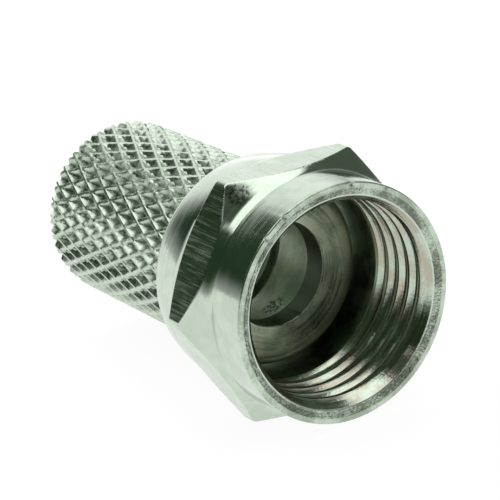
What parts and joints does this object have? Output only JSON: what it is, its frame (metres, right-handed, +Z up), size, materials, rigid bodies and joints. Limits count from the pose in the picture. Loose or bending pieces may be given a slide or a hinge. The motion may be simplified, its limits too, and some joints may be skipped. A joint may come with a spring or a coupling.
{
  "type": "f connector",
  "caption": "Twist-on coaxial F connector: hexagonal coupling nut with a threaded mouth that spins on a knurled tubular body.",
  "frame": {"origin": "on the connector's axis at the front face of the body's flange, where the end of a mating port seats", "axes": "+X along the connector's axis from the mating mouth to the cable end, +Z up through a flat of the coupling nut, the connector lying on the opposite flat"},
  "size_m": [0.0189, 0.0126, 0.011],
  "materials": {
    "nickel_plate": "bright nickel plating over brass, lightly handled"
  },
  "bodies": {
    "body": {"body": "nickel_plate"},
    "coupling_nut": {"coupling_nut": "nickel_plate"}
  },
  "joints": [
    {"name": "nut_spin", "type": "hinge", "parent": "body", "child": "coupling_nut", "pos_m": [0.0017, 0, 0], "axis": [1, 0, 0], "continuous": true}
  ]
}
